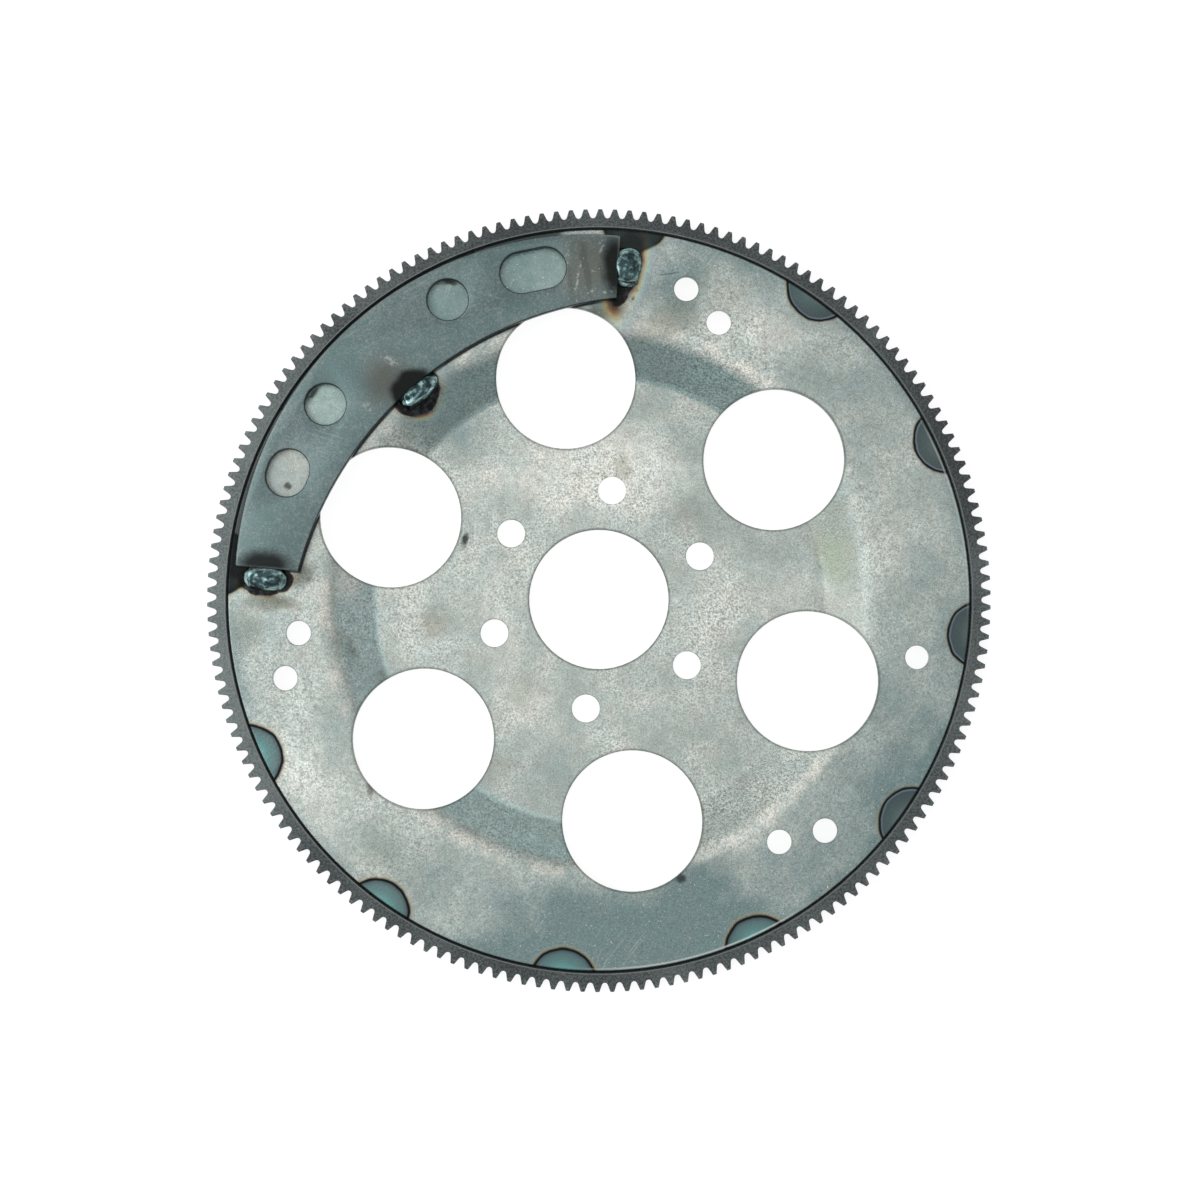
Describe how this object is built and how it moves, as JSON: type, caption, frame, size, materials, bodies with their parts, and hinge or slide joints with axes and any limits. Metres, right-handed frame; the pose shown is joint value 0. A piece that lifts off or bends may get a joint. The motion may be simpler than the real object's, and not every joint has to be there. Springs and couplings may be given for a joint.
{
  "type": "flexplate",
  "caption": "Automatic transmission flexplate: dished pressed steel disc with a welded starter ring gear and an arc-shaped counterweight",
  "frame": {"origin": "centre of the pilot bore, on the crank face on which the part lies", "axes": "+Z is the axis, towards the converter side; +X runs through a crank bolt hole"},
  "size_m": [0.354, 0.354, 0.0174],
  "materials": {
    "disc_steel": "oiled pressed sheet, mottled, with heat tint",
    "ring_steel": "dark hardened steel",
    "weight_steel": "dull rolled plate",
    "weld_metal": "glassy rippled bead"
  },
  "bodies": {
    "root": {"disc": "disc_steel", "ring_gear": "ring_steel", "counterweight": "weight_steel", "weight_weld_lead": "weld_metal", "weight_weld_mid": "weld_metal", "weight_weld_trail": "weld_metal", "ring_weld_1": "weld_metal", "ring_weld_2": "weld_metal", "ring_weld_3": "weld_metal", "ring_weld_4": "weld_metal", "ring_weld_5": "weld_metal", "ring_weld_6": "weld_metal", "ring_weld_7": "weld_metal", "ring_weld_8": "weld_metal", "ring_weld_9": "weld_metal", "ring_weld_10": "weld_metal", "ring_weld_11": "weld_metal", "ring_weld_12": "weld_metal"}
  },
  "joints": []
}
